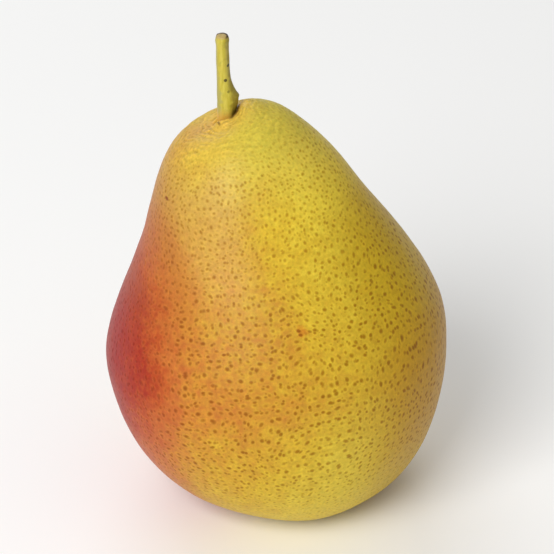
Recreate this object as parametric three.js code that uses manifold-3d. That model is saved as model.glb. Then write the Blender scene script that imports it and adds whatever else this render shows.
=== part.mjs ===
// A blushed dessert pear, standing upright: the fruit with its stem cavity and calyx basin, the woody stem
// rooted in the crown, and the dried calyx of sepals and stamens in the basin underneath.
// Millimetres, +Z up. The origin is the middle of the pear's outline seen from above, on the surface that it
// stands on. The fullest view is from -Y, and the neck leans towards -X.
import * as THREE from "three";
import { mergeVertices } from "three/addons/utils/BufferGeometryUtils.js";
import Module from "manifold-3d";

// The fruit's outline, as radius and height, before the neck leans
const BELLY_RADIUS = 34.5;
const BELLY_HEIGHT = 33;
const NECK_RADIUS = 21.9;
const NECK_HEIGHT = 64;
const NECK_TAPER = 0.42; // radius lost for each millimetre of height at the neck
const CROWN_RADIUS = 5.2; // the ring round the stem where the fruit is highest
const CROWN_HEIGHT = 84.6;
const FOOT_INNER = 9; // the flat ring that the fruit stands on
const FOOT_OUTER = 12;
const BASIN_DEPTH = 4.8;
const CAVITY_DEPTH = 0.9;

// How far each curve of the outline keeps the direction it starts or ends with
const BASIN_FLOOR_PULL = 3.5;
const BASIN_LIP_PULL = 2.8;
const FOOT_PULL = 11.7;
const BELLY_PULL_DOWN = 16.5;
const BELLY_PULL_UP = 10.8;
const NECK_PULL = 8;
const CROWN_PULL = 8.2;
const CAVITY_LIP_PULL = 1.3;
const CAVITY_FLOOR_PULL = 0.5;

// How the fruit departs from a turned shape
const LEAN = THREE.MathUtils.degToRad(15.6); // the turn of its axis at the lean height
const LEAN_HEIGHT = 85;
const FOOT_SHIFT = 2.9; // the foot sits this far off the belly's middle, away from the lean
const FOOT_SHIFT_HEIGHT = 20;
const BASIN_RIBS = 5;
const BASIN_RIB_HEIGHT = 0.45;
const BASIN_RIB_REACH = 14; // height at which the ribs have faded
const BASIN_RIB_TURN = 0.6;
const OVAL_SWELL = 0.35;
const OVAL_TURN = -0.5;
const THREE_LOBED_SWELL = 0.21;
const THREE_LOBED_TURN = 1.1;
const SWELL_FADE = 10; // the swells grow to their full height over this distance from the foot
const SHOULDER_RISE = 1.1; // the shoulder beside the stem, away from the lean
const SHOULDER_RADIUS = 9.5;
const SHOULDER_WIDTH = 5;
const COLLAR_RISE = 1.5; // the flesh that climbs the front of the stem
const COLLAR_WIDTH = 2.2;
const COLLAR_TURN = THREE.MathUtils.degToRad(-120);
const CROWN_DIP = 1.3; // the crown slopes off behind the stem, on the side of the lean
const CROWN_DIP_WIDTH = 6;
const CROWN_DIP_TURN = THREE.MathUtils.degToRad(155);
const FRUIT_SIDES = 56;
const OUTLINE_STEPS = 10; // in each curve of the outline

// The stem: its heights are above the bottom of the cavity
const STEM_ROOT_RADIUS = 1.8;
const STEM_ROOT_DEPTH = 5;
const STEM_SHAFT_RADIUS = 1.35;
const STEM_TIP_RADIUS = 1.26;
const STEM_HEIGHT = 19.3;
const STEM_SWAY = 0.9; // how far the tip stands past the root, towards -X
const STEM_TWIST = 0.35; // and towards +Y
const STEM_CUT_FROM = 0.86; // the share of its height above which the worn cut slopes off
const STEM_CUT_SLANT = THREE.MathUtils.degToRad(6);
const STEM_CUT_TURN = THREE.MathUtils.degToRad(-90); // the side it slopes down to
const HEEL_BULGE = 1.15; // the heel's swelling, on the side away from the lean
const HEEL_BULGE_AT = 5.7;
const HEEL_BULGE_SPAN = 2.5;
const STEM_RIDGES = 5;
const STEM_RIDGE_HEIGHT = 0.06;
const STEM_SIDES = 18;
const STEM_STEPS = 22;

// The calyx: a short tube set in the floor of the basin
const CALYX_TUBE_RADIUS = 2.2;
const CALYX_TUBE_WALL = 0.7;
const CALYX_TUBE_REACH = 1.3; // below the basin's floor
const CALYX_TUBE_ROOT = 2; // above it, inside the fruit
const CALYX_TUBE_SIDES = 20;
const CALYX_THROAT = 0.3; // how far the tube's hollow stops short of the basin's floor
const SEPALS = 5;
const SEPAL_LENGTH = 4.4;
const SEPAL_WIDTH = 2.7;
const SEPAL_THICKNESS = 0.7;
const SEPAL_DROP = 2.3; // from its foot to its tip
const SEPAL_HOLLOW = 0.12;
const STAMENS = 14;
const STAMEN_RADIUS = 0.34;
const STAMEN_LENGTH = 2.7;
const STAMEN_SPREAD = 1.25; // the radius that the stamens stand within
const STAMEN_TURN = 2.4; // the angle from one stamen to the next, which never repeats
const SEED = 11;

const SOCKET_GAP = 0.3; // between a rooted piece and the flesh round it
const STEM_SOCKET_RADIUS = STEM_ROOT_RADIUS + SOCKET_GAP;
const CALYX_SOCKET_RADIUS = CALYX_TUBE_RADIUS + SOCKET_GAP;
const CAVITY_FLOOR = CROWN_HEIGHT - CAVITY_DEPTH;

// Repeatable random numbers from 0 to 1
function seededRandom(seed) {
  let state = seed;
  return () => {
    state = (state * 16807) % 2147483647;
    return state / 2147483647;
  };
}

// Calls change(point) for each vertex of a geometry, and keeps what it did to the point
function reshape(geometry, change) {
  const position = geometry.getAttribute("position");
  const point = new THREE.Vector3();
  for (let i = 0; i < position.count; i++) {
    point.fromBufferAttribute(position, i);
    change(point);
    position.setXYZ(i, point.x, point.y, point.z);
  }
  position.needsUpdate = true;
  return geometry;
}

// A closed solid turned round +Z from points of radius and height
function turned(outline, sides) {
  return new THREE.LatheGeometry(outline, sides).rotateX(Math.PI / 2);
}

// 1 where distance is 0, falling smoothly to nothing past the span
function bump(distance, span) {
  return Math.exp(-((distance / span) ** 2));
}

// 1 in one direction round the axis, falling smoothly to 0 in the opposite one
function facing(turn, direction) {
  return 0.5 + 0.5 * Math.cos(turn - direction);
}

// The foot and the basin sit a little to one side of the belly
function standOnFoot(point) {
  point.x += FOOT_SHIFT * Math.max(0, 1 - point.z / FOOT_SHIFT_HEIGHT) ** 2;
}

// Carries a point of the straight fruit onto the arc that its axis follows
function leanOver(point) {
  const curvature = LEAN / LEAN_HEIGHT;
  const turn = curvature * point.z;
  const across = point.x;
  point.x = across * Math.cos(turn) - (1 - Math.cos(turn)) / curvature;
  point.z = across * Math.sin(turn) + Math.sin(turn) / curvature;
}

// From the calyx's socket over the basin, foot, belly, neck and crown into the stem's socket
function fruitOutline() {
  const calyxSocketTop = BASIN_DEPTH + CALYX_TUBE_ROOT + SOCKET_GAP;
  const stemSocketFloor = CAVITY_FLOOR - STEM_ROOT_DEPTH - SOCKET_GAP;
  const neckSlant = NECK_TAPER * NECK_PULL;
  const outline = new THREE.Path();
  outline.moveTo(0, calyxSocketTop);
  outline.lineTo(CALYX_SOCKET_RADIUS, calyxSocketTop);
  outline.lineTo(CALYX_SOCKET_RADIUS, BASIN_DEPTH);
  outline.bezierCurveTo(
    CALYX_SOCKET_RADIUS + BASIN_FLOOR_PULL, BASIN_DEPTH,
    FOOT_INNER - BASIN_LIP_PULL, 0,
    FOOT_INNER, 0);
  outline.lineTo(FOOT_OUTER, 0);
  outline.bezierCurveTo(
    FOOT_OUTER + FOOT_PULL, 0,
    BELLY_RADIUS, BELLY_HEIGHT - BELLY_PULL_DOWN,
    BELLY_RADIUS, BELLY_HEIGHT);
  outline.bezierCurveTo(
    BELLY_RADIUS, BELLY_HEIGHT + BELLY_PULL_UP,
    NECK_RADIUS + neckSlant, NECK_HEIGHT - NECK_PULL,
    NECK_RADIUS, NECK_HEIGHT);
  outline.bezierCurveTo(
    NECK_RADIUS - neckSlant, NECK_HEIGHT + NECK_PULL,
    CROWN_RADIUS + CROWN_PULL, CROWN_HEIGHT,
    CROWN_RADIUS, CROWN_HEIGHT);
  outline.bezierCurveTo(
    CROWN_RADIUS - CAVITY_LIP_PULL, CROWN_HEIGHT,
    STEM_SOCKET_RADIUS + CAVITY_FLOOR_PULL, CAVITY_FLOOR + CAVITY_FLOOR_PULL,
    STEM_SOCKET_RADIUS, CAVITY_FLOOR);
  outline.lineTo(STEM_SOCKET_RADIUS, stemSocketFloor);
  outline.lineTo(0, stemSocketFloor);
  return outline.getPoints(OUTLINE_STEPS);
}

// The swells that keep the fruit from being round, which leave the basin and the flat foot alone
function swell(point) {
  const radius = Math.hypot(point.x, point.y);
  const turn = Math.atan2(point.y, point.x);
  const ribWave = Math.cos(BASIN_RIBS * turn + BASIN_RIB_TURN);
  const ribs = BASIN_RIB_HEIGHT * ribWave * bump(point.z, BASIN_RIB_REACH);
  const oval = OVAL_SWELL * Math.cos(2 * turn + OVAL_TURN);
  const lobes = THREE_LOBED_SWELL * Math.sin(3 * turn + THREE_LOBED_TURN);
  const fade = THREE.MathUtils.clamp((radius - FOOT_INNER) / SWELL_FADE, 0, 1);
  const grown = fade * (ribs + oval + lobes);
  if (radius > 0) {
    point.x *= 1 + grown / radius;
    point.y *= 1 + grown / radius;
  }
}

// The crown's shoulder, dip and collar round the stem, which leave the stem's socket alone
function shapeCrown(point) {
  const radius = Math.hypot(point.x, point.y);
  const turn = Math.atan2(point.y, point.x);
  const inSocket = point.z < CAVITY_FLOOR - SOCKET_GAP && radius < CROWN_RADIUS;
  if (point.z > NECK_HEIGHT && !inSocket) {
    const fromSocket = radius - STEM_SOCKET_RADIUS;
    point.z += SHOULDER_RISE * facing(turn, 0) ** 2 * bump(radius - SHOULDER_RADIUS, SHOULDER_WIDTH);
    point.z += COLLAR_RISE * facing(turn, COLLAR_TURN) ** 2 * bump(fromSocket, COLLAR_WIDTH);
    point.z -= CROWN_DIP * facing(turn, CROWN_DIP_TURN) ** 2 * bump(fromSocket, CROWN_DIP_WIDTH);
  }
}

function fruitGeometry() {
  return reshape(turned(fruitOutline(), FRUIT_SIDES), (point) => {
    shapeCrown(point);
    swell(point);
    standOnFoot(point);
    leanOver(point);
  });
}

// The upright stem: a root, a stout heel, a slim shaft and a worn, rounded end
function stemOutline() {
  const aboveRoot = new THREE.SplineCurve([
    new THREE.Vector2(STEM_ROOT_RADIUS, 0),
    new THREE.Vector2(STEM_ROOT_RADIUS * 0.98, STEM_HEIGHT * 0.12),
    new THREE.Vector2(STEM_ROOT_RADIUS * 0.92, STEM_HEIGHT * 0.22),
    new THREE.Vector2(STEM_SHAFT_RADIUS * 1.12, STEM_HEIGHT * 0.35),
    new THREE.Vector2(STEM_SHAFT_RADIUS, STEM_HEIGHT * 0.5),
    new THREE.Vector2(STEM_SHAFT_RADIUS * 0.95, STEM_HEIGHT * 0.71),
    new THREE.Vector2(STEM_TIP_RADIUS, STEM_HEIGHT * 0.86),
    new THREE.Vector2(STEM_TIP_RADIUS * 1.06, STEM_HEIGHT * 0.93),
    new THREE.Vector2(STEM_TIP_RADIUS * 0.86, STEM_HEIGHT * 0.98),
  ]);
  return [
    new THREE.Vector2(0, -STEM_ROOT_DEPTH),
    new THREE.Vector2(STEM_ROOT_RADIUS * 0.8, -STEM_ROOT_DEPTH),
    new THREE.Vector2(STEM_ROOT_RADIUS, -STEM_ROOT_DEPTH * 0.85),
    new THREE.Vector2(STEM_ROOT_RADIUS, -STEM_ROOT_DEPTH * 0.5),
    ...aboveRoot.getPoints(STEM_STEPS),
    new THREE.Vector2(STEM_TIP_RADIUS * 0.45, STEM_HEIGHT * 0.997),
    new THREE.Vector2(0, STEM_HEIGHT),
  ];
}

// The stem's centre line: along the leaning fruit's axis in the socket, then bending upright
function stemRoute() {
  const root = new THREE.Vector3(0, 0, CAVITY_FLOOR - STEM_ROOT_DEPTH);
  const mouth = new THREE.Vector3(0, 0, CAVITY_FLOOR);
  leanOver(root);
  leanOver(mouth);
  const above = (height, sway) =>
    new THREE.Vector3(mouth.x - STEM_SWAY * sway, STEM_TWIST * sway, mouth.z + STEM_HEIGHT * height);
  return new THREE.CatmullRomCurve3([
    root,
    root.clone().lerp(mouth, 0.5),
    mouth,
    above(0.22, 0.38),
    above(0.45, 0.72),
    above(0.72, 0.9),
    above(1, 1),
  ]);
}

function stemGeometry() {
  const route = stemRoute();
  const upright = new THREE.Vector3(0, 0, 1);
  return reshape(turned(stemOutline(), STEM_SIDES), (point) => {
    const radius = Math.hypot(point.x, point.y);
    const turn = Math.atan2(point.y, point.x);
    const onShaft = point.z > 0 && point.z < STEM_HEIGHT * 0.97;
    const heel = HEEL_BULGE * bump(point.z - HEEL_BULGE_AT, HEEL_BULGE_SPAN) * facing(turn, 0) ** 1.5;
    const ridges = STEM_RIDGE_HEIGHT * Math.cos(STEM_RIDGES * turn);
    const grown = onShaft ? 1 + (heel + ridges) / radius : 1;
    const cutShare = Math.max(0, point.z / STEM_HEIGHT - STEM_CUT_FROM) / (1 - STEM_CUT_FROM);
    const towardsCut = STEM_TIP_RADIUS + radius * Math.cos(turn - STEM_CUT_TURN);
    point.z -= cutShare * towardsCut * Math.tan(STEM_CUT_SLANT);
    const along = THREE.MathUtils.clamp(
      (point.z + STEM_ROOT_DEPTH) / (STEM_HEIGHT + STEM_ROOT_DEPTH), 0, 1);
    const tilt = new THREE.Quaternion().setFromUnitVectors(upright, route.getTangentAt(along));
    point.set(point.x * grown, point.y * grown, 0);
    point.applyQuaternion(tilt).add(route.getPointAt(along));
  });
}

// A closed geometry as a solid that can be joined to others
function asSolid(wasm, geometry) {
  const bare = geometry.clone();
  bare.deleteAttribute("normal");
  bare.deleteAttribute("uv");
  const merged = mergeVertices(bare, 1e-4);
  return new wasm.Manifold(new wasm.Mesh({
    numProp: 3,
    vertProperties: merged.getAttribute("position").array,
    triVerts: new Uint32Array(merged.index.array),
  }));
}

function asGeometry(solid) {
  const mesh = solid.getMesh();
  const geometry = new THREE.BufferGeometry();
  geometry.setAttribute("position", new THREE.BufferAttribute(mesh.vertProperties, 3));
  geometry.setIndex(new THREE.BufferAttribute(mesh.triVerts, 1));
  geometry.computeVertexNormals();
  return geometry;
}

// One dried sepal: it reaches out from inside the tube's rim, hollowed along its middle, to a drooping point
function sepalGeometry(turn, length, curl) {
  const foot = new THREE.Vector2(CALYX_TUBE_RADIUS / 2, BASIN_DEPTH - CALYX_TUBE_REACH + SEPAL_THICKNESS / 3);
  const blade = new THREE.BoxGeometry(1, 1, 1, 9, 4, 1);
  reshape(blade, (point) => {
    const along = point.x + 0.5;
    const taper = 0.12 + 0.88 * Math.sqrt(Math.max(0, 1 - along));
    const across = point.y * SEPAL_WIDTH * taper * (0.75 + 0.5 * Math.sin(Math.PI * along));
    const sag = SEPAL_DROP * along ** 2 + curl * along ** 5 + SEPAL_HOLLOW * across ** 2;
    point.set(foot.x + length * along, across, foot.y - sag + SEPAL_THICKNESS * point.z);
  });
  return blade.rotateZ(turn);
}

// One dried stamen, hanging out of the tube
function stamenGeometry(turn, out, tilt, length) {
  const stamen = new THREE.CylinderGeometry(STAMEN_RADIUS, STAMEN_RADIUS * 0.8, length, 5, 1);
  stamen.rotateX(Math.PI / 2);
  stamen.translate(0, 0, -length / 2);
  stamen.rotateY(-tilt);
  stamen.translate(out, 0, BASIN_DEPTH + STAMEN_RADIUS);
  return stamen.rotateZ(turn);
}

// The tube, its sepals and its stamens, grown together as one piece
function calyxGeometry(wasm) {
  const random = seededRandom(SEED);
  const rim = BASIN_DEPTH - CALYX_TUBE_REACH;
  const inside = CALYX_TUBE_RADIUS - CALYX_TUBE_WALL;
  let calyx = asSolid(wasm, turned([
    new THREE.Vector2(0, BASIN_DEPTH - CALYX_THROAT),
    new THREE.Vector2(inside * 0.9, BASIN_DEPTH - 1.7 * CALYX_THROAT),
    new THREE.Vector2(inside, rim),
    new THREE.Vector2(CALYX_TUBE_RADIUS, rim),
    new THREE.Vector2(CALYX_TUBE_RADIUS, BASIN_DEPTH + CALYX_TUBE_ROOT),
    new THREE.Vector2(0, BASIN_DEPTH + CALYX_TUBE_ROOT),
  ], CALYX_TUBE_SIDES));
  for (let i = 0; i < SEPALS; i++) {
    const turn = (i + 0.25 * (random() - 0.5)) * 2 * Math.PI / SEPALS;
    const length = SEPAL_LENGTH * (0.85 + 0.3 * random());
    calyx = calyx.add(asSolid(wasm, sepalGeometry(turn, length, 0.6 * random() - 0.3)));
  }
  for (let i = 0; i < STAMENS; i++) {
    const out = STAMEN_SPREAD * Math.sqrt((i + 0.5) / STAMENS);
    const length = STAMEN_LENGTH * (0.75 + 0.5 * random());
    const tilt = 0.25 * out + 0.3 * random();
    calyx = calyx.add(asSolid(wasm, stamenGeometry(i * STAMEN_TURN, out, tilt, length)));
  }
  return reshape(asGeometry(calyx), (point) => {
    standOnFoot(point);
    leanOver(point);
  });
}

function piece(name, geometry, color, roughness) {
  const mesh = new THREE.Mesh(geometry, new THREE.MeshStandardMaterial({ color, roughness, metalness: 0 }));
  mesh.name = name;
  return mesh;
}

const wasm = await Module();
wasm.setup();

const grown = new THREE.Group();
grown.add(piece("fruit", fruitGeometry(), 0xd2ab3c, 0.45));
grown.add(piece("stem", stemGeometry(), 0xb3a23f, 0.65));
grown.add(piece("calyx", calyxGeometry(wasm), 0x4a3524, 0.9));

const middle = new THREE.Box3().setFromObject(grown, true).getCenter(new THREE.Vector3());
grown.position.set(-middle.x, -middle.y, 0);

const pear = new THREE.Group();
pear.add(grown);

export default pear;
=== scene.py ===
import math

import bpy
from mathutils import Matrix, Vector, noise


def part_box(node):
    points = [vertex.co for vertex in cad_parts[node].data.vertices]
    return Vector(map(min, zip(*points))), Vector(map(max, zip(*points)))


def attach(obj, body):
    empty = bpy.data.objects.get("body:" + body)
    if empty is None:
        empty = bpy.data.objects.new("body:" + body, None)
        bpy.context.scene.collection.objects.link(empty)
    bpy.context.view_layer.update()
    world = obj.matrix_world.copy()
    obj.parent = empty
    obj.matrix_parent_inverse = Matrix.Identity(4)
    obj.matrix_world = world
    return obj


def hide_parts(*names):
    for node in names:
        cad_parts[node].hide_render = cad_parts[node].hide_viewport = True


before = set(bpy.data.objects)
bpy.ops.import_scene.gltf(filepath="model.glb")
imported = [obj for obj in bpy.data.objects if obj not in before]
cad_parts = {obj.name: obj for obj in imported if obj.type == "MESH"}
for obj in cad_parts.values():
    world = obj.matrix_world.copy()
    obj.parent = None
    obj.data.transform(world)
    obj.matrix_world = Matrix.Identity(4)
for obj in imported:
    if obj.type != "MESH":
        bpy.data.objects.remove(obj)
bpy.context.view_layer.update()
print("frame loaded:", ", ".join(sorted(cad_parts)))

mm = 0.001

# The straight pear behind the leaning one: the same values as in the part's source
lean = {
    "turn": math.radians(15.6),
    "height": 85 * mm,
    "footShift": 2.9 * mm,
    "footShiftHeight": 20 * mm,
    "cavityFloor": 83.7 * mm,
}
bendRadius = lean["height"] / lean["turn"]


def deselectAll():
    for thing in bpy.context.selected_objects:
        thing.select_set(False)


def makeActive(piece):
    deselectAll()
    piece.select_set(True)
    bpy.context.view_layer.objects.active = piece


def closeMesh():
    bpy.ops.object.mode_set(mode="OBJECT")


# Selects the faces that pass a test, and those alone, and stays in edit mode
def pickFaces(piece, test):
    makeActive(piece)
    bpy.ops.object.mode_set(mode="EDIT")
    bpy.ops.mesh.select_mode(type="FACE")
    bpy.ops.mesh.select_all(action="DESELECT")
    closeMesh()
    for face in piece.data.polygons:
        face.select = test(face)
    bpy.ops.object.mode_set(mode="EDIT")


# Moves each vertex to where a formula says
def reshape(piece, formula):
    for vertex in piece.data.vertices:
        vertex.co = formula(vertex.co)
    piece.data.update()


def applyModifier(piece, kind, **settings):
    makeActive(piece)
    modifier = piece.modifiers.new(kind.title(), kind)
    for key, value in settings.items():
        setattr(modifier, key, value)
    bpy.ops.object.modifier_apply(modifier=modifier.name)


def roundOff(piece, levels):
    applyModifier(piece, "SUBSURF", levels=levels, render_levels=levels)


# A copy of a CAD node with its loose triangles merged and paired into quads
def copyNode(node, name):
    makeActive(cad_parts[node])
    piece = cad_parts[node].copy()
    piece.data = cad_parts[node].data.copy()
    piece.name = piece.data.name = name
    piece.parent = None
    for key in [key for key in piece.keys() if key.startswith("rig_")]:
        del piece[key]
    piece.data.materials.clear()
    bpy.context.scene.collection.objects.link(piece)
    makeActive(piece)
    bpy.ops.object.mode_set(mode="EDIT")
    bpy.ops.mesh.select_all(action="SELECT")
    bpy.ops.mesh.remove_doubles(threshold=0.004 * mm)
    bpy.ops.mesh.tris_convert_to_quads(face_threshold=math.radians(50), shape_threshold=math.radians(60))
    bpy.ops.mesh.normals_make_consistent(inside=False)
    closeMesh()
    return piece


def smooth(piece, angle=180):
    makeActive(piece)
    if angle == 180:
        bpy.ops.object.shade_smooth()
    else:
        bpy.ops.object.shade_smooth_by_angle(angle=math.radians(angle))


def bump(distance, span):
    return math.exp(-((distance / span) ** 2))


def ramp(value, low, high):
    share = min(1, max(0, (value - low) / (high - low)))
    return share * share * (3 - 2 * share)


# Where the fruit's own axis meets the floor, before the foot's shift
def findAxis():
    foot = [v.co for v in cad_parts["fruit"].data.vertices if abs(v.co.z) < 0.01 * mm]
    middle = [(min(c[i] for c in foot) + max(c[i] for c in foot)) / 2 for i in (0, 1)]
    return Vector((middle[0] - lean["footShift"], middle[1], 0))


axis = findAxis()


# A point of the leaning pear as it lies in the straight one: across, front to back, up the axis
def straighten(point):
    out = point.x - axis.x + bendRadius
    up = math.atan2(point.z, out) * bendRadius
    across = math.hypot(out, point.z) - bendRadius
    across -= lean["footShift"] * max(0, 1 - up / lean["footShiftHeight"]) ** 2
    return Vector((across, point.y - axis.y, up))


# And back again
def leanOver(point):
    across = point.x + lean["footShift"] * max(0, 1 - point.z / lean["footShiftHeight"]) ** 2
    turn = point.z / bendRadius
    out = across + bendRadius
    return Vector((out * math.cos(turn) - bendRadius + axis.x, point.y + axis.y, out * math.sin(turn)))


# Reshapes a piece by a formula on the straight pear
def reshapeStraight(piece, formula):
    reshape(piece, lambda point: leanOver(formula(straighten(point))))


# One number that changes over a surface, so that a mask is written as plain arithmetic
class Shade:
    def __init__(self, paint, socket):
        self.paint = paint
        self.socket = socket

    def __add__(self, other):
        return self.paint.sum("ADD", self, other)

    def __radd__(self, other):
        return self.paint.sum("ADD", other, self)

    def __sub__(self, other):
        return self.paint.sum("SUBTRACT", self, other)

    def __rsub__(self, other):
        return self.paint.sum("SUBTRACT", other, self)

    def __mul__(self, other):
        return self.paint.sum("MULTIPLY", self, other)

    def __rmul__(self, other):
        return self.paint.sum("MULTIPLY", other, self)

    def __truediv__(self, other):
        return self.paint.sum("DIVIDE", self, other)

    def __rtruediv__(self, other):
        return self.paint.sum("DIVIDE", other, self)


# A material and the few ways its nodes are made
class Paint:
    def __init__(self, name, roughness=0.5, **constants):
        self.material = bpy.data.materials.new(name)
        self.material.use_nodes = True
        self.tree = self.material.node_tree
        self.shader = self.tree.nodes["Principled BSDF"]
        self.shader.inputs["Roughness"].default_value = roughness
        for key, value in constants.items():
            self.shader.inputs[key.replace("_", " ")].default_value = value

    # One output of a new node, or a list of them where several are named
    def node(self, kind, settings, sockets, output=0):
        made = self.tree.nodes.new(kind)
        for key, value in settings.items():
            if key == "stops":
                self.setStops(made.color_ramp.elements, value)
            elif key == "points":
                self.setPoints(made.mapping, value)
            else:
                setattr(made, key, value)
        for key, value in sockets.items():
            if isinstance(value, Shade):
                self.tree.links.new(value.socket, made.inputs[key])
            else:
                made.inputs[key].default_value = value
        if isinstance(output, tuple):
            return [Shade(self, made.outputs[name]) for name in output]
        return Shade(self, made.outputs[output])

    def setStops(self, elements, stops):
        while len(elements) < len(stops):
            elements.new(1)
        for element, (position, color) in zip(elements, stops):
            element.position = position
            element.color = color

    def setPoints(self, mapping, points):
        curve = mapping.curves[0].points
        while len(curve) < len(points):
            curve.new(1, 1)
        for point, place in zip(curve, points):
            point.location = place
        mapping.update()

    def sum(self, operation, first, second=0.0):
        return self.node("ShaderNodeMath", {"operation": operation}, {0: first, 1: second})

    # A smooth curve through the values given at some places
    def curve(self, values, place):
        low, high = min(values), max(values)
        points = [((at - low) / (high - low), value) for at, value in values.items()]
        return self.node("ShaderNodeFloatCurve", {"points": points}, {"Value": (place - low) / (high - low)})

    # 0 below one value and 1 above the other, eased between them
    def between(self, value, low, high):
        return self.node("ShaderNodeMapRange", {"interpolation_type": "SMOOTHSTEP"},
                         {"Value": value, "From Min": low, "From Max": high})

    def mix(self, factor, first, second):
        return self.node("ShaderNodeMix", {"data_type": "RGBA"}, {0: factor, 6: first, 7: second}, 2)

    # Noise from 0 to 1, or as a colour, over a place in millimetres
    def grain(self, place, perMm, detail=2.0, roughness=0.5, output="Fac"):
        return self.node("ShaderNodeTexNoise", {"noise_dimensions": "3D"},
                         {"Vector": place, "Scale": perMm, "Detail": detail, "Roughness": roughness}, output)

    # Three repeatable random numbers for each whole-numbered cell
    def draws(self, first, second, third):
        cell = self.combine(first, second, third)
        drawn = self.node("ShaderNodeTexWhiteNoise", {"noise_dimensions": "3D"}, {"Vector": cell}, "Color")
        return self.split(drawn)

    # The place on the piece, in millimetres
    def objectPlace(self):
        return self.stretch(self.node("ShaderNodeTexCoord", {}, {}, "Object"), 1 / mm, 1 / mm, 1 / mm)

    def scale(self, vector, factor):
        return self.node("ShaderNodeVectorMath", {"operation": "SCALE"}, {0: vector, "Scale": factor})

    # How far a place lies from a fixed point
    def distance(self, place, point):
        return self.node("ShaderNodeVectorMath", {"operation": "DISTANCE"}, {0: place, 1: point}, "Value")

    def split(self, vector):
        return self.node("ShaderNodeSeparateXYZ", {}, {0: vector}, ("X", "Y", "Z"))

    def combine(self, x, y, z):
        return self.node("ShaderNodeCombineXYZ", {}, {0: x, 1: y, 2: z})

    def stretch(self, place, x, y, z):
        return self.node("ShaderNodeVectorMath", {"operation": "MULTIPLY"}, {0: place, 1: (x, y, z)})

    def attribute(self, name):
        return self.node("ShaderNodeAttribute", {"attribute_name": name}, {}, "Fac")

    # Connects what changes over the surface: colour, roughness, and relief in millimetres
    def finish(self, color, roughness=None, relief=None):
        self.tree.links.new(color.socket, self.shader.inputs["Base Color"])
        if roughness is not None:
            self.tree.links.new(roughness.socket, self.shader.inputs["Roughness"])
        if relief is not None:
            bumped = self.node("ShaderNodeBump", {}, {"Height": relief, "Distance": mm, "Strength": 1.0})
            self.tree.links.new(bumped.socket, self.shader.inputs["Normal"])
        return self.material


# A colour as a screen shows it, from 0 to 255, turned into the shader's linear light
def screenColor(red, green, blue):
    linear = [(c / 255 / 12.92) if c / 255 <= 0.04045 else ((c / 255 + 0.055) / 1.055) ** 2.4
              for c in (red, green, blue)]
    return (*linear, 1.0)


# The fruit: the CAD skin, rounded off, with the flesh closed up round the stem
fruitValues = {
    "stemMouth": 2.1 * mm,     # radius of the CAD socket
    "stemGrip": 1.55 * mm,     # radius the skin closes to, inside the stem
    "socketDepth": 7 * mm,     # below the cavity's floor, past the socket's own
    "crownFrom": 74 * mm,      # height above which the skin is modelled more finely
    "unevenness": 0.28 * mm,
    "unevenSize": 15 * mm,
    "dimpling": 0.06 * mm,
    "dimpleSize": 4 * mm,
    "lipHeight": 2.2 * mm,     # the flesh that swells up against the stem's heel
    "lipTurn": math.radians(5),
    "lipFrom": 1.8 * mm,
    "lipFull": 2.85 * mm,
    "lipTo": 9.5 * mm,
    "collarHeight": 0.7 * mm,  # the flesh that climbs the front of the stem
    "collarTurn": math.radians(-105),
    "collarFrom": 1.6 * mm,
    "collarFull": 2.2 * mm,
    "collarTo": 5 * mm,
    "wrinkleHeight": 0.14 * mm,
    "wrinklePitch": 1.2 * mm,
    "finerShare": 0.62,        # spacing of the weaker wrinkles that cross the others, against theirs
    "wrinkleReach": 11 * mm,
    "wrinkleWaver": 1.3 * mm,
    "waverSize": 2.6 * mm,
    "breakSize": 2.2 * mm,     # how often a wrinkle breaks off, going out from the stem
    "pucker": 0.3 * mm,        # the folds round the basin's rim
    "puckers": 11,
    "puckerRadius": 5.4 * mm,
    "puckerWidth": 2.4 * mm,
    "basinTop": 8 * mm,
    "basinRim": 14 * mm,
    "coreHeight": 40 * mm,     # where the bearings of the skin are taken from
}


# 1 in one direction round the axis, falling smoothly to 0 in the opposite one
def facing(turn, direction):
    return 0.5 + 0.5 * math.cos(turn - direction)


# The fine rings in the skin round the stem, from -1 to 1, fading down the shoulder
def wrinkleAt(point):
    v = fruitValues
    radius = math.hypot(point.x, point.y)
    if point.z < v["crownFrom"] or radius < v["stemGrip"]:
        return 0
    turn = math.atan2(point.y, point.x)
    waver = v["wrinkleWaver"] * noise.noise(point / v["waverSize"]) + 0.45 * mm * math.sin(2 * turn + 0.8)
    wave = math.sin(2 * math.pi * (radius + waver) / v["wrinklePitch"])
    finerPitch = v["finerShare"] * v["wrinklePitch"]
    wave += 0.5 * math.sin(2 * math.pi * (radius - 1.6 * waver) / finerPitch + 3 * turn)
    stretch = Vector((2.5 * math.cos(turn), 2.5 * math.sin(turn), radius / v["breakSize"]))
    broken = 0.5 + 1.1 * noise.noise(stretch)
    fade = bump(radius - v["stemGrip"], v["wrinkleReach"]) * ramp(radius, 1.9 * mm, 3 * mm)
    return wave * max(0, broken) * fade / 1.5


# The wall and floor of the stem's socket close in on the stem's root
def closeSocket(point):
    v = fruitValues
    radius = math.hypot(point.x, point.y)
    inSocket = 0.1 * mm < radius < v["stemMouth"] + 0.2 * mm
    if point.z <= lean["cavityFloor"] - v["socketDepth"] or not inSocket:
        return point
    share = v["stemGrip"] / radius
    return Vector((point.x * share, point.y * share, point.z))


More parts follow.
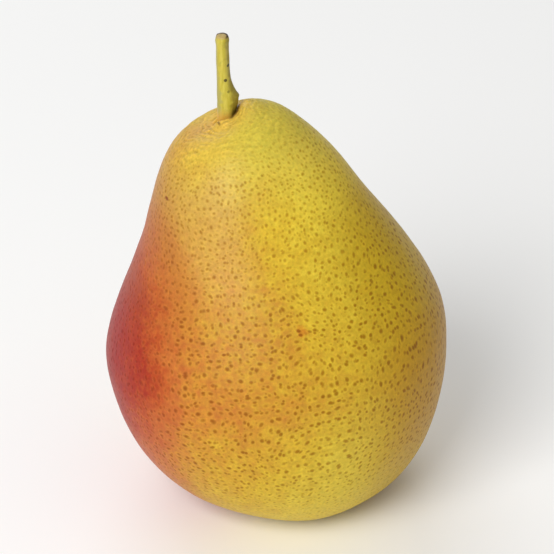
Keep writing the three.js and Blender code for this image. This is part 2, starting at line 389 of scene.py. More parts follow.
# The relief of the skin: slow swells and dimples, the flesh round the stem, and the folds round the basin
def weatherSkin(point):
    v = fruitValues
    radius = math.hypot(point.x, point.y)
    turn = math.atan2(point.y, point.x)
    if radius < 0.5 * mm:
        return point
    swell = v["unevenness"] * noise.noise(point / v["unevenSize"])
    swell += v["dimpling"] * noise.noise(point / v["dimpleSize"])
    outward = 1 + swell / radius * ramp(radius, 6 * mm, 16 * mm) * ramp(point.z, 1 * mm, 8 * mm)
    moved = Vector((point.x * outward, point.y * outward, point.z))
    if point.z > v["crownFrom"]:
        lip = ramp(radius, v["lipFrom"], v["lipFull"])
        lip *= 1 - ramp(radius, v["lipFull"] + 1 * mm, v["lipTo"])
        moved.z += v["lipHeight"] * lip * facing(turn, v["lipTurn"]) ** 3
        collar = ramp(radius, v["collarFrom"], v["collarFull"])
        collar *= 1 - ramp(radius, v["collarFull"] + 0.1 * mm, v["collarTo"])
        moved.z += v["collarHeight"] * collar * facing(turn, v["collarTurn"]) ** 4
        moved.z += v["wrinkleHeight"] * wrinkleAt(point)
    if point.z < v["basinTop"] and radius < v["basinRim"]:
        wander = noise.noise(Vector((math.cos(turn), math.sin(turn), 0)))
        fold = math.sin(v["puckers"] * turn + 2 * wander)
        moved.z += v["pucker"] * fold * bump(radius - v["puckerRadius"], v["puckerWidth"])
    return moved


def buildFruit():
    v = fruitValues
    fruit = copyNode("fruit", "pearFruit")
    reshapeStraight(fruit, closeSocket)
    pickFaces(fruit, lambda face: straighten(face.center).z > v["crownFrom"])
    bpy.ops.mesh.subdivide(number_cuts=1, smoothness=0)
    closeMesh()
    roundOff(fruit, 2)
    reshapeStraight(fruit, weatherSkin)
    restOnFloor(fruit)
    smooth(fruit)
    markSkin(fruit)
    print("fruit:", len(fruit.data.polygons), "faces")
    return fruit


# The foot goes down to the floor again where the rounding lifted it
def restOnFloor(fruit):
    low = min(vertex.co.z for vertex in fruit.data.vertices)
    reshape(fruit, lambda point: point - Vector((0, 0, low * bump(point.z - low, 3 * mm))))


# How far apart the dots lie at each height in millimetres, against their spacing on the belly
dotSpread = {0: 0.75, 14: 0.9, 30: 1.0, 50: 1.0, 62: 0.84, 74: 0.72, 88: 0.66}

# Rings of the skin from the crown to the base: bearing, length of skin down to it, radius and height.
# The length counts more where the dots lie closer together.
skinRings = []


# Keeps two numbers for the skin's pattern as attributes: the wrinkles, which the colour uses for painted
# shade and light along them, and the way from the crown
def markSkin(fruit):
    straight = [straighten(vertex.co) for vertex in fruit.data.vertices]
    measureSkin(straight)
    wrinkles = fruit.data.attributes.new("wrinkles", "FLOAT", "POINT")
    along = fruit.data.attributes.new("alongSkin", "FLOAT", "POINT")
    for index, point in enumerate(straight):
        wrinkles.data[index].value = wrinkleAt(point)
        along.data[index].value = between(bearing(point), [(ring[0], ring[1]) for ring in skinRings])


# The angle of a point from the crown, seen from the pear's core
def bearing(point):
    return math.atan2(math.hypot(point.x, point.y), point.z - fruitValues["coreHeight"])


# The value at a place, from the pairs of place and value on both sides of it
def between(place, pairs):
    for low, high in zip(pairs, pairs[1:]):
        if place <= high[0]:
            break
    return low[1] + (place - low[0]) / (high[0] - low[0]) * (high[1] - low[1])


# Fills in the rings of the skin from its points on the right side, away from the axis
def measureSkin(points):
    steps = 90     # from the crown to the base
    outline = {}
    for point in points:
        if math.hypot(point.x, point.y) > 2.2 * mm and abs(math.atan2(point.y, point.x)) < 0.35:
            outline.setdefault(round(bearing(point) / math.pi * steps), []).append(point)
    spreads = list(dotSpread.items())
    for key in sorted(outline):
        ring = outline[key]
        radius = sum(math.hypot(p.x, p.y) for p in ring) / len(ring) / mm
        height = sum(p.z for p in ring) / len(ring) / mm
        angle = sum(bearing(p) for p in ring) / len(ring)
        length = radius
        if skinRings:
            length = math.hypot(radius - skinRings[-1][2], height - skinRings[-1][3])
        length = length / between(height, spreads)
        skinRings.append((angle, length + (skinRings[-1][1] if skinRings else 0), radius, height))


# The skin: a yellow ground, olive on one flank and darker there as painted shade, with a blush on the other,
# small dots all over, a painted highlight on the cheek, and painted shade in the creases and along the
# wrinkles by the stem.
# Places and sizes are in millimetres, in the straight pear.
# Yellowness runs from the reddest skin to the yellowest. It goes by the side that the skin faces, from the
# blushed side at -1 over the front and back at 0 to the other side at 1, and by the height above the base.
skinValues = {
    "ground": {0.1: (152, 22, 8), 0.25: (163, 48, 14), 0.4: (180, 82, 30), 0.55: (189, 106, 42),
               0.7: (195, 130, 42), 0.85: (200, 153, 42), 1.0: (210, 175, 46), 1.15: (220, 193, 58)},
    "yellowRound": {-1: 0.0, -0.8: 0.24, -0.7: 0.34, -0.6: 0.48, -0.4: 0.66, -0.2: 0.7, 0: 0.75, 0.2: 0.82,
                    0.4: 0.92, 0.7: 0.97, 1: 0.97},
    "yellowUp": {0: 0.42, 8: 0.34, 16: 0.26, 24: 0.16, 32: 0.06, 40: 0.0, 48: 0.03, 56: 0.07, 64: 0.11,
                 72: 0.16, 80: 0.24, 88: 0.3},
    # the dark of the creases by the stem: painted shade
    "paintedCreaseShade": (84, 54, 16),
    "shortCrease": ((-1.6, -1.9), (-1.0, -3.6)),   # across and depth of its ends, in front of the stem
    "blemishAt": (5.0, -28.0, 52.3),   # on the leaning pear
    "blemishSize": 1.9,
    "blemish": (190, 108, 26),
    "fleckAt": (-21.4, 0, 71.0),       # its depth doesn't count
    "fleckSize": 0.46,
    "fleck": (118, 36, 10),
    "dotTint": (0.5, 0.34, 0.01),
    "roughness": 0.42,
}

# Slow and quick unevenness that the masks share: noise per millimetre, detail and roughness
skinNoise = {
    "broad": (0.035, 2, 0.5),
    "patchy": (0.11, 3, 0.6),
    "cloudy": (0.26, 2, 0.55),
    "mottle": (0.55, 3, 0.65),
    "fine": (1.5, 2, 0.6),
}

# Other colours laid over the ground in turn, where they are strongest at their share; some of them are
# painted shade and a painted highlight.
# Each sets in over its "from" bands and fades out over its "to" bands.
groundPatches = {
    # olive skin on the flank away from the blush, darker than its own olive as painted shade
    "oliveAndShadeFlank": {"color": (194, 156, 6), "share": 0.85, "from": {"side": (0.45, 1.0)}},
    # a darker ochre low on that flank: partly the skin's own ochre, partly painted shade
    "ochreAndShadeLowFlank": {"color": (184, 130, 8), "share": 0.7, "from": {"side": (0.3, 0.9), "up": (4, 24)},
                      "to": {"up": (34, 50)}},
    # a pale cream patch on the upper cheek and neck, between the blush and the front and back: a painted
    # highlight
    "paintedHighlightCheek": {"color": (214, 162, 98), "share": 0.33, "from": {"up": (52, 66)},
                   "to": {"offCheek": (0.1, 0.45), "up": (76, 82)}},
    "tannedNeck": {"color": (184, 112, 40), "share": 0.75, "times": "unblushed", "from": {"up": (46, 58)},
                   "to": {"side": (-0.62, -0.34), "up": (76, 84)}},
    "goldenCrown": {"color": (208, 178, 82), "share": 0.4, "from": {"up": (68, 80)}},
    "greenCrown": {"color": (196, 188, 64), "share": 1.0, "times": "broken",
                   "from": {"up": (55, 75), "across": (-6, 8)}, "to": {"radius": (6, 24)}},
    "russetBasin": {"color": (150, 110, 52), "share": 1.0, "from": {"mottle": (0.35, 0.65)},
                    "to": {"radius": (5, 11), "up": (4, 12)}},
    "fleshRoundStem": {"color": (208, 164, 70), "share": 0.7, "from": {"up": (70, 80)},
                       "to": {"radius": (2.5, 9)}},
}

# Two layers of dots, with lengths in millimetres and the rest as shares
dotLayers = {
    "first": {"pitch": 1.95, "radius": 0.35, "vary": 0.36, "soft": 0.24, "spare": 0.5, "stretch": 0.14,
              "chance": 1.0, "seed": 3.5},
    "second": {"pitch": 2.1, "radius": 0.28, "vary": 0.5, "soft": 0.2, "spare": 0.7, "stretch": 0.2,
               "chance": 0.8, "seed": 8.5},
}
speckles = {"cell": 0.98, "radius": 0.15, "vary": 1.0, "soft": 0.1}


# The skin's radius, in what the dots' spacing is there, over the way from the crown, as a share of widest
def radiusCurve(widest):
    spreads = list(dotSpread.items())
    around = {0: 0.0, skinRings[-1][1]: 0.0}
    for ring in skinRings[::len(skinRings) // 16]:
        length, radius, height = ring[1:]
        around[length] = radius / between(height, spreads) / widest
    return dict(sorted(around.items()))


# Dots in rows round the fruit, each moved about inside a cell of its own, so that they cover the skin evenly.
# Gives how far a place lies outside its dot, and the dot's strength there.
def dots(paint, layer, turn, radius, along, spread, growth, ragged):
    pitch = layer["pitch"]
    widest = 50    # more than the skin's radius anywhere, so that the curve stays under 1
    fewest = 5     # dots in a row
    row = paint.sum("FLOOR", along / pitch)
    count = paint.curve(radiusCurve(widest), (row + 0.5) * pitch) * (widest * 2 * math.pi / pitch)
    count = paint.sum("MAXIMUM", paint.sum("ROUND", count), fewest)
    place = turn / (2 * math.pi) * count + paint.draws(row, layer["seed"], 0.0)[0]
    column = paint.sum("FLOOR", place)
    wrapped = paint.sum("FLOORED_MODULO", column, count)
    sideShift, upShift, size = paint.draws(row, wrapped, layer["seed"])
    chance, spin, stretch = paint.draws(row, wrapped, layer["seed"] + 20)
    sideways = (place - column - 0.5 - layer["spare"] * (sideShift - 0.5)) * radius * (2 * math.pi) / count
    upwards = (along / pitch - row - 0.5 - layer["spare"] * (upShift - 0.5)) * spread * pitch
    cosine, sine = paint.sum("COSINE", spin * math.pi), paint.sum("SINE", spin * math.pi)
    longways = (sideways * cosine + upwards * sine) / (1 + layer["stretch"] * stretch)
    crossways = (upwards * cosine - sideways * sine) * (1 + 0.5 * layer["stretch"] * stretch)
    away = paint.sum("SQRT", longways * longways + crossways * crossways)
    away = away + ragged - layer["radius"] * (1 - layer["vary"] / 2 + layer["vary"] * size) * growth
    strength = (0.6 + 0.35 * size) * paint.sum("LESS_THAN", chance, layer["chance"])
    return away, (1 - paint.between(away, -layer["soft"], layer["soft"])) * strength


# Fine speckles where cells scattered through the flesh meet the skin
def speckle(paint, place, growth):
    v = speckles
    away, draw = paint.node("ShaderNodeTexVoronoi", {}, {"Vector": place, "Scale": 1 / v["cell"]},
                            ("Distance", "Color"))
    size, strength = paint.split(draw)[:2]
    away = away * v["cell"] - v["radius"] * (1 - v["vary"] / 2 + v["vary"] * size) * growth
    return (1 - paint.between(away, -v["soft"], v["soft"])) * (0.4 + 0.6 * strength)


# The place on the straight pear, worked out as in straighten: across, depth, up the axis, radius and turn
def straightPlace(paint, place):
    x, y, z = paint.split(place)
    bend = bendRadius / mm
    out = x + (bend - axis.x / mm)
    up = paint.sum("ARCTAN2", z, out) * bend
    low = paint.sum("MAXIMUM", 1 - up / (lean["footShiftHeight"] / mm), 0)
    across = paint.sum("SQRT", out * out + z * z) - bend - low * low * (lean["footShift"] / mm)
    depth = y - axis.y / mm
    radius = paint.sum("MAXIMUM", paint.sum("SQRT", across * across + depth * depth), 0.5)
    return across, depth, up, radius, paint.sum("ARCTAN2", depth, across)


# How strong the dots and the speckles are, and a halo round the dots.
# The dots' rows wander, and lie closer together with smaller dots towards both ends.
def scatterDots(paint, place, spot):
    wander, drift = paint.split(paint.grain(place, 0.06, 2, 0.5, "Color"))[:2]
    turn = spot["turn"] + (wander - 0.5) * 6 / paint.sum("MAXIMUM", spot["radius"], 9)
    along = paint.attribute("alongSkin") + (drift - 0.5) * 6
    ragged = 0.2 * (paint.grain(place, 1.4, 1) - 0.5)
    spread = paint.curve(dotSpread, spot["up"])
    growth = spread * (1 - 0.35 * spot["low"])
    (firstAway, first), (secondAway, second) = [
        dots(paint, layer, turn, spot["radius"], along, spread, growth, ragged)
        for layer in dotLayers.values()]
    halo = 1 - paint.between(paint.sum("MINIMUM", firstAway, secondAway), 0.0, 0.8)
    return paint.sum("MAXIMUM", first, second), speckle(paint, place, growth), halo


# How strongly a patch of the ground shows
def patchMask(paint, patch, spot):
    mask = patch["share"]
    for name, (start, full) in patch["from"].items():
        mask = mask * paint.between(spot[name], start, full)
    for name, (start, gone) in patch.get("to", {}).items():
        mask = mask * (1 - paint.between(spot[name], start, gone))
    return mask * spot[patch["times"]] if "times" in patch else mask


# The ground, by its side and height, broken up by the noise
def paintGround(paint, place, spot, halo):
    v = skinValues
    side, up = spot["side"], spot["up"]
    patchy, cloudy, mottle, fine = [spot[name] - 0.5 for name in ("patchy", "cloudy", "mottle", "fine")]
    yellowness = paint.curve(v["yellowRound"], side) + paint.curve(v["yellowUp"], up)
    yellowness = yellowness + 0.25 * patchy + 0.25 * cloudy + 0.15 * (spot["broad"] - 0.5)
    yellowness = yellowness + 0.25 * mottle + 0.05 * halo
    span = max(v["ground"])
    stops = [(share / span, screenColor(*color)) for share, color in v["ground"].items()]
    ground = paint.node("ShaderNodeValToRGB", {"stops": stops}, {0: yellowness / span}, "Color")
    spot["blushed"] = 1 - paint.between(yellowness, 0.3, 0.7)
    spot["unblushed"] = 1 - 0.7 * spot["blushed"]
    spot["broken"] = 0.5 + 0.9 * patchy
    spot["offCheek"] = paint.sum("ABSOLUTE", side + 0.3)
    for patch in groundPatches.values():
        ground = paint.mix(patchMask(paint, patch, spot), ground, screenColor(*patch["color"]))
    blemish = paint.distance(place, v["blemishAt"]) + 1.6 * mottle
    blemish = 1 - paint.between(blemish, 0.5 * v["blemishSize"], v["blemishSize"])
    ground = paint.mix(blemish * 0.75, ground, screenColor(*v["blemish"]))

    # Light and dark: random mottle, paler halos round the dots, painted shade and light along the wrinkles
    # round the stem, and a neck that is paler on its yellow side and darker on its blushed side
    tone = 0.96 + 0.2 * mottle + 0.5 * fine + 0.06 * halo + 0.32 * paint.attribute("wrinkles")
    lighter = 0.2 * paint.between(side, -0.4, 0.5) - 0.1
    lighter = lighter * paint.between(up, 58, 72) * (1 - paint.between(up, 76, 84))
    return paint.scale(ground, tone * (1 + lighter))


# One dark fleck on the front of the neck
def paintFleck(paint, place, spot, color):
    v = skinValues
    x, y, z = paint.split(place)
    inFront = paint.combine(x, paint.sum("MAXIMUM", y, 0), z)
    away = paint.distance(inFront, v["fleckAt"]) + 0.2 * (spot["fine"] - 0.5)
    fleck = 1 - paint.between(away, 0.4 * v["fleckSize"], v["fleckSize"])
    return paint.mix(fleck * 0.8, color, screenColor(*v["fleck"]))


# Painted shade in the crease where the flesh meets the stem's heel, and in a short crease in front of the
# stem
def paintCreaseShade(paint, spot, color):
    v = skinValues
    onCrown = paint.between(spot["up"], 70, 80)
    heelSide = paint.between(paint.sum("COSINE", spot["turn"] - fruitValues["lipTurn"]), 0.1, 0.5)
    heelCreaseShade = (1 - paint.between(spot["radius"], 3.0, 3.6)) * heelSide * onCrown
    color = paint.mix(heelCreaseShade * 0.9, color, screenColor(*v["paintedCreaseShade"]))
    start, end = v["shortCrease"]
    run = [(b - a) / math.dist(start, end) for a, b in zip(start, end)]
    across, depth = spot["across"] - start[0], spot["depth"] - start[1]
    lengthways = across * run[0] + depth * run[1]
    sideways = across * run[1] - depth * run[0] + 0.5 * (spot["mottle"] - 0.5)
    shortCreaseShade = (1 - paint.between(paint.sum("ABSOLUTE", sideways), 0.05, 0.3)) * onCrown
    shortCreaseShade = shortCreaseShade * paint.between(lengthways, -0.3, 0.2) * (1 - paint.between(lengthways, 1.3, 2.0))
    return paint.mix(shortCreaseShade * 0.7, color, screenColor(*v["paintedCreaseShade"]))


def paintSkin():
    v = skinValues
    paint = Paint("blushedSkin", v["roughness"], Subsurface_Weight=0.1, Subsurface_Radius=(1.0, 0.4, 0.12),
                  Subsurface_Scale=1.6 * mm, Specular_IOR_Level=0.2)
    place = paint.objectPlace()
    spot = dict(zip(("across", "depth", "up", "radius", "turn"), straightPlace(paint, place)))
    for name, values in skinNoise.items():
        spot[name] = paint.grain(place, *values)
    up = spot["up"]
    spot["low"] = 1 - paint.between(up, 2, 26)
    blushing = 1 - 0.4 * paint.between(up, 54, 76)      # the neck blushes less
    spot["side"] = paint.sum("COSINE", spot["turn"]) * blushing

    # Dots darken the ground, less on the red and towards both ends
    dotted, speckled, halo = scatterDots(paint, place, spot)
    ground = paintGround(paint, place, spot, halo)
    strength = (1 - 0.4 * spot["blushed"]) * (1 - 0.45 * spot["low"]) * (1 - 0.2 * paint.between(up, 50, 66))
    strength = strength * (1 - 0.6 * paint.between(up, 77, 84))
    dark = paint.node("ShaderNodeVectorMath", {"operation": "MULTIPLY"}, {0: ground, 1: v["dotTint"]})
    color = paint.mix(speckled * strength * 0.55, ground, dark)
    color = paint.mix(dotted * strength, color, dark)
    color = paintFleck(paint, place, spot, color)
    color = paintCreaseShade(paint, spot, color)

    relief = 0.02 * spot["fine"] + 0.03 * spot["mottle"] + 0.03 * dotted
    roughness = v["roughness"] + 0.12 * (spot["mottle"] - 0.5) + 0.12 * dotted
    return paint.finish(color, roughness, relief)


# The stem: the CAD stem, rounded off, with ridges, a knob on its heel and a worn cut end
stemValues = {
    "grainHeight": 0.045 * mm,
    "knobAt": 6.3 * mm,        # above the mouth of its socket
    "knobHeight": 0.3 * mm,
    "knobSpan": 0.45 * mm,
    "rimHeight": 0.05 * mm,
    "tipDome": 0.45 * mm,      # height of the rounded tip that is worn down
    "tipWear": 0.7,            # the share of that height that is worn away
    "tipSpare": 0.1 * mm,      # left under the CAD's top for its roughness
    "roughness": 0.5,
    "olive": (180, 164, 46),
    "straw": (200, 184, 72),
    "shade": (150, 138, 54),
    "fleshy": (206, 156, 60),
    "cork": (74, 54, 30),
    "cutFace": (176, 150, 92),
    # the darker right edge is painted shade
    "shadedRightEdge": (128, 108, 18),
    # the pale grey left edge is a painted sheen
    "sheenLeftEdge": (150, 146, 96),
    "speck": (60, 50, 10),
    # across, up, size and strength of the dark specks on its front, in millimetres
    "specks": ((-9.4, 95.55, 0.3, 0.9), (-9.95, 92.65, 0.34, 0.9), (-9.4, 90.35, 0.26, 0.5)),
}


# The middle of the stem at a height, read off the CAD stem's rings
def stemMiddle(height):
    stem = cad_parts["stem"].data.vertices
    near = [v.co for v in stem if abs(v.co.z - height) < 0.7 * mm]
    return sum(near, Vector()) / len(near)


def buildStem():
    v = stemValues
    stem = copyNode("stem", "pearStem")
    top = max(vertex.co.z for vertex in stem.data.vertices)
    mouth = leanOver(Vector((0, 0, lean["cavityFloor"]))).z
    roundOff(stem, 2)
    crest = max(vertex.co.z for vertex in stem.data.vertices)
    flattened = top - v["tipSpare"] - crest + v["tipWear"] * v["tipDome"]

    # The cut end is worn flat, and reaches as high as before the rounding
    def wearTip(point):
        over = max(0, point.z - crest + v["tipDome"])
        raised = point.z - v["tipWear"] * over + flattened * ramp(point.z, mouth + 6 * mm, crest - 1 * mm)
        return Vector((point.x, point.y, raised))

    reshape(stem, wearTip)
    steps = 30
    middles = [(height, stemMiddle(height)) for height in
               [mouth + (top - 1 * mm - mouth) * i / steps for i in range(steps + 1)]]

    def middleAt(height):
        for (low, first), (high, second) in zip(middles, middles[1:]):
            if height <= high:
                return first.lerp(second, max(0, (height - low) / (high - low)))
        return middles[-1][1]

    def weather(point):
        if point.z < mouth - 1 * mm:
            return point
        centre = middleAt(point.z)
        outward = Vector((point.x - centre.x, point.y - centre.y, 0))
        if outward.length < 0.5 * mm:
            return point + Vector((0, 0, 0.1 * mm * noise.noise(point / (0.5 * mm))))
        turn = math.atan2(outward.y, outward.x)
        rise = point.z - mouth
        ridges = noise.noise(Vector((1.8 * math.cos(turn), 1.8 * math.sin(turn), rise / (6 * mm))))
        lumps = noise.noise(point / (1.4 * mm))
        knob = v["knobHeight"] * bump(rise - v["knobAt"], v["knobSpan"]) * max(0, math.cos(turn + 0.2)) ** 4
        rim = v["rimHeight"] * bump(point.z - (top - 1.2 * mm), 0.6 * mm)
        return point + outward.normalized() * (v["grainHeight"] * (1.4 * ridges + lumps) + knob + rim)

    reshape(stem, weather)
    across = stem.data.attributes.new("acrossStem", "FLOAT", "POINT")
    for index, vertex in enumerate(stem.data.vertices):
        across.data[index].value = (vertex.co.x - middleAt(vertex.co.z).x) / mm
    smooth(stem)
    print("stem:", len(stem.data.polygons), "faces")
    return stem


def paintStem():
    v = stemValues
    paint = Paint("woodyStem", v["roughness"], Subsurface_Weight=0.05, Subsurface_Scale=1 * mm,
                  Specular_IOR_Level=0.35)
    place = paint.objectPlace()
    x, y, z = paint.split(place)
    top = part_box("stem")[1].z / mm
    mouth = leanOver(Vector((0, 0, lean["cavityFloor"]))).z / mm
    fibres = paint.grain(paint.stretch(place, 1, 1, 0.13), 1.4, 3, 0.6)
    mottle = paint.grain(place, 0.8, 3, 0.65)
    fine = paint.grain(place, 4.0, 2, 0.6)
    color = paint.mix(paint.between(fibres, 0.35, 0.65), screenColor(*v["olive"]), screenColor(*v["straw"]))
    color = paint.mix(paint.between(mottle, 0.5, 0.75) * 0.5, color, screenColor(*v["shade"]))
    foot = 1 - paint.between(z + 1.2 * (mottle - 0.5), mouth + 1.6, mouth + 4.6)
    color = paint.mix(foot * 0.9, color, screenColor(*v["fleshy"]))

    # Painted shade down the stem's right edge
    across = paint.attribute("acrossStem") + 0.3 * (mottle - 0.5)
    color = paint.mix(paint.between(across, 0.6, 1.3) * 0.6, color, screenColor(*v["shadedRightEdge"]))
    # A painted sheen down the stem's left edge, above the fleshy foot
    sheenLeftEdge = (1 - paint.between(across, -1.3, -0.6)) * (1 - foot)
    color = paint.mix(sheenLeftEdge * 0.5, color, screenColor(*v["sheenLeftEdge"]))
    for sideways, up, size, strength in v["specks"]:
        near = paint.distance(paint.combine(x, paint.sum("MAXIMUM", y, 0), z), (sideways, 0, up))
        near = 1 - paint.between(near + 0.3 * size * (fine - 0.5), 0.7 * size, 1.25 * size)
        color = paint.mix(near * strength, color, screenColor(*v["speck"]))

    # The cut end is pale, with a dark rim on the right and behind
    tip = stemMiddle(top * mm - 1 * mm) / mm
    worn = paint.between(z + 0.4 * (mottle - 0.5), top - 0.75, top - 0.4)
    color = paint.mix(worn * 0.85, color, screenColor(*v["cutFace"]))
    behind = paint.distance(paint.combine(x, y, 0), (tip.x - 0.2, tip.y - 0.55, 0)) + 0.7 * (mottle - 0.5)
    color = paint.mix(worn * paint.between(behind, 0.85, 1.2), color, screenColor(*v["cork"]))
    relief = 0.05 * fibres + 0.05 * mottle + 0.02 * fine
    roughness = v["roughness"] + 0.25 * (mottle - 0.5)
    return paint.finish(color, roughness, relief)


# The calyx: five dried sepals and a tuft of stamens in the basin underneath, on a short tube
calyxValues = {
    "seed": 11,
    "basinDepth": 4.8 * mm,
    "tubeRadius": 2.2 * mm,
    "tubeWall": 0.7 * mm,
    "tubeReach": 1.3 * mm,
    "tubeRoot": 2.0 * mm,
    "sepals": 5,
    "sepalLength": 4.4 * mm,
    "sepalWidth": 2.9 * mm,
    "sepalThickness": 0.42 * mm,
    "sepalDrop": 2.3 * mm,
    "sepalHollow": 0.12 / mm,
    "stamens": 14,
    "stamenRadius": 0.2 * mm,
    "stamenLength": 2.7 * mm,
    "stamenSpread": 1.25 * mm,
    "stamenTurn": 2.4,
    "dark": (58, 40, 26),
    "dry": (122, 92, 58),
    "down": (168, 150, 120),
    "roughness": 0.85,
}


# The same repeatable numbers as the part's source draws
def seededDraws(seed):
    state = seed
    while True:
        state = state * 16807 % 2147483647
        yield state / 2147483647


def buildSepal(turn, length, curl, number):
    v = calyxValues
    bpy.ops.mesh.primitive_grid_add(x_subdivisions=14, y_subdivisions=8, size=1)
    sepal = bpy.context.active_object
    sepal.name = f"sepal{number}"

    def shape(point):
        along = point.x + 0.5
        taper = 0.1 + 0.9 * math.sqrt(max(0, 1 - along))
        width = v["sepalWidth"] * taper * (0.75 + 0.5 * math.sin(math.pi * along))
        across = point.y * width
        sag = v["sepalDrop"] * along ** 2 + curl * along ** 5 + v["sepalHollow"] * across ** 2
        frill = 0.16 * mm * math.sin(9 * along + 2.1 * number) * (2 * abs(point.y)) ** 2
        crumple = 0.22 * mm * noise.noise(Vector((6 * along, 5 * point.y, 3.1 * number)))
        foot = v["tubeRadius"] / 2
        height = v["basinDepth"] - v["tubeReach"] + 0.15 * mm
        return Vector((foot + length * along, across, height - sag + frill + crumple))

    reshape(sepal, shape)
    applyModifier(sepal, "SOLIDIFY", thickness=v["sepalThickness"], offset=0)
    roundOff(sepal, 1)
    sepal.data.transform(Matrix.Rotation(turn, 4, "Z"))
    return sepal


def buildStamen(turn, out, tilt, length, number):
    v = calyxValues
    start = v["basinDepth"] + v["stamenRadius"]
    bpy.ops.mesh.primitive_cylinder_add(vertices=8, radius=v["stamenRadius"], depth=length)
    stamen = bpy.context.active_object
    stamen.name = f"stamen{number}"
    stamen.data.transform(Matrix.Translation((0, 0, -length / 2)))
    pickFaces(stamen, lambda face: face.normal.z < -0.9)
    bpy.ops.mesh.extrude_region_move(TRANSFORM_OT_translate={"value": (0, 0, -0.12 * mm)})
    bpy.ops.transform.resize(value=(1.9, 1.5, 1))
    bpy.ops.mesh.extrude_region_move(TRANSFORM_OT_translate={"value": (0, 0, -0.4 * mm)})
    bpy.ops.transform.resize(value=(0.6, 0.6, 1))
    closeMesh()
    roundOff(stamen, 1)
    bent = 0.35 * mm * math.sin(2.7 * number)

    def curve(point):
        share = -point.z / length
        return Vector((point.x + bent * share ** 2, point.y + 0.6 * bent * share ** 3, point.z))

    reshape(stamen, curve)
    stamen.data.transform(Matrix.Rotation(turn, 4, "Z")
                          @ Matrix.Translation((out, 0, start))
                          @ Matrix.Rotation(-tilt, 4, "Y"))
    return stamen


def buildTube():
    v = calyxValues
    reach = v["tubeReach"] + v["tubeRoot"]
    bpy.ops.mesh.primitive_cylinder_add(vertices=40, radius=v["tubeRadius"], depth=reach)
    tube = bpy.context.active_object
    tube.name = "calyxTube"
    tube.data.transform(Matrix.Translation((0, 0, v["basinDepth"] - v["tubeReach"] + reach / 2)))
    pickFaces(tube, lambda face: face.normal.z < -0.9)
    bpy.ops.mesh.inset(thickness=v["tubeWall"], depth=0)
    bpy.ops.mesh.extrude_region_move(TRANSFORM_OT_translate={"value": (0, 0, 0.9 * mm)})
    bpy.ops.mesh.inset(thickness=0.5 * mm, depth=0)
    closeMesh()
    applyModifier(tube, "BEVEL", width=0.12 * mm, segments=2)
    return tube


def join(pieces, name):
    deselectAll()
    for piece in pieces:
        piece.select_set(True)
    bpy.context.view_layer.objects.active = pieces[0]
    bpy.ops.object.join()
    pieces[0].name = pieces[0].data.name = name
    return pieces[0]


def buildCalyx():
    v = calyxValues
    draw = seededDraws(v["seed"])
    sepals = []
    for i in range(v["sepals"]):
        turn = (i + 0.25 * (next(draw) - 0.5)) * 2 * math.pi / v["sepals"]
        length = v["sepalLength"] * (0.85 + 0.3 * next(draw))
        curl = (0.6 * next(draw) - 0.3) * mm
        sepals.append(buildSepal(turn, length, curl, i))
    stamens = []
    for i in range(v["stamens"]):
        out = v["stamenSpread"] * math.sqrt((i + 0.5) / v["stamens"])
        length = v["stamenLength"] * (0.75 + 0.5 * next(draw))
        tilt = 0.25 * out / mm + 0.3 * next(draw)
        stamens.append(buildStamen(i * v["stamenTurn"], out, tilt, length, i))
    calyx = join([buildTube(), *sepals], "calyxSepals")
    tuft = join(stamens, "calyxStamens")
    for piece in (calyx, tuft):
        reshape(piece, leanOver)
        smooth(piece, 40)
    print("calyx:", len(calyx.data.polygons) + len(tuft.data.polygons), "faces")
    return calyx, tuft


def paintCalyx(name, pale):
    v = calyxValues
    paint = Paint(name, v["roughness"])
    place = paint.objectPlace()
    z = paint.split(place)[2]
    fibres = paint.grain(place, 2.6, 4, 0.7)
    patches = paint.grain(place, 0.7, 2)
    color = paint.mix(paint.between(fibres, 0.35, 0.7), screenColor(*v["dark"]), screenColor(*v["dry"]))
    lowEnds = 1 - paint.between(z, 0.9, 3.0)
    color = paint.mix(lowEnds * paint.between(patches, 0.4, 0.6) * pale, color, screenColor(*v["down"]))
    return paint.finish(color, v["roughness"] + 0.2 * (fibres - 0.5), 0.12 * fibres)


# Floor, lights and camera
studioValues = {
    "floorSize": 4.0,
    "floorColor": (252, 252, 251),
    "floorMottle": 0.985,      # how bright its darker patches are
    "worldColor": (1.0, 1.0, 1.0),
    "worldStrength": 0.38,
    "keyAt": (-0.5, -0.85, 0.8),
    "keySize": 0.7,
    "keyPower": 12.3,
    "backAt": (-0.3, 0.9, 0.8),
    "backSize": 0.9,
    "backPower": 4.5,
    "target": (0, 3.6 * mm, 46.2 * mm),
    "elevation": 30,
    "distance": 0.6,
    "frameWidth": 112 * mm,    # what the picture's width takes in, at the pear
}


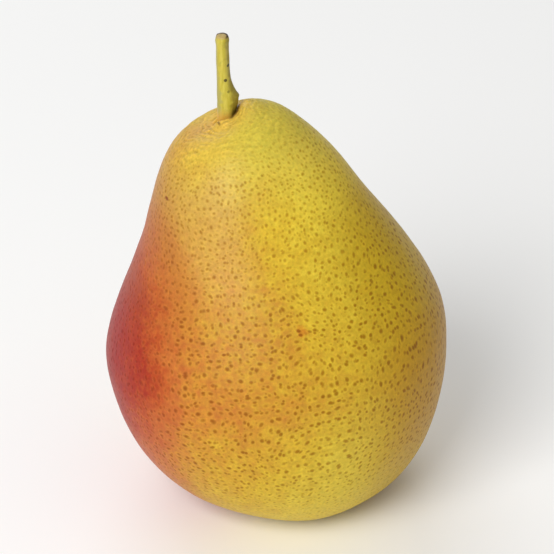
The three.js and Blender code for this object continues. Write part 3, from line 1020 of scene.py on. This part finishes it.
def buildStudio():
    v = studioValues
    scene = bpy.context.scene
    scene.view_settings.view_transform = "Standard"
    deselectAll()
    bpy.ops.mesh.primitive_plane_add(size=v["floorSize"], location=(0, 0, 0))
    floor = bpy.context.active_object
    floor.name = "floor"
    floor.data.transform(floor.matrix_world)
    floor.matrix_world = Matrix.Identity(4)
    paint = Paint("paleFloor", 0.9)
    place = paint.objectPlace()
    grain = paint.grain(place, 0.004, 2)
    white = screenColor(*v["floorColor"])
    duller = tuple(v["floorMottle"] * c for c in white[:3]) + (1,)
    floor.data.materials.append(paint.finish(paint.mix(grain, white, duller)))

    world = bpy.data.worlds.new("studio")
    scene.world = world
    world.use_nodes = True
    background = world.node_tree.nodes["Background"]
    background.inputs["Color"].default_value = (*v["worldColor"], 1)
    background.inputs["Strength"].default_value = v["worldStrength"]

    target = Vector(v["target"])
    for name in ("key", "back"):
        bpy.ops.object.light_add(type="AREA", location=v[name + "At"])
        light = bpy.context.active_object
        light.name = name + "Light"
        light.data.size = v[name + "Size"]
        light.data.energy = v[name + "Power"]
        light.rotation_euler = (target - light.location).to_track_quat("-Z", "Y").to_euler()

    tilt = math.radians(v["elevation"])
    away = Vector((0, -math.cos(tilt), math.sin(tilt))) * v["distance"]
    bpy.ops.object.camera_add(location=target + away)
    camera = bpy.context.active_object
    camera.name = "camera"
    camera.rotation_euler = (-away).to_track_quat("-Z", "Y").to_euler()
    camera.data.sensor_width = 36
    camera.data.lens = 36 * v["distance"] / v["frameWidth"]
    scene.camera = camera
    print("studio ready")


buildStudio()
fruit = buildFruit()
stem = buildStem()
sepals, stamens = buildCalyx()

for piece, material, node, slot in (
        (fruit, paintSkin(), "fruit", "skin"),
        (stem, paintStem(), "stem", "stem"),
        (sepals, paintCalyx("driedSepals", 0.5), "calyx", "calyx"),
        (stamens, paintCalyx("driedStamens", 0.3), None, "calyx")):
    piece.data.materials.clear()
    piece.data.materials.append(material)
    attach(piece, "root")
    if node:
        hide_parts(node)
print("materials and bodies set")
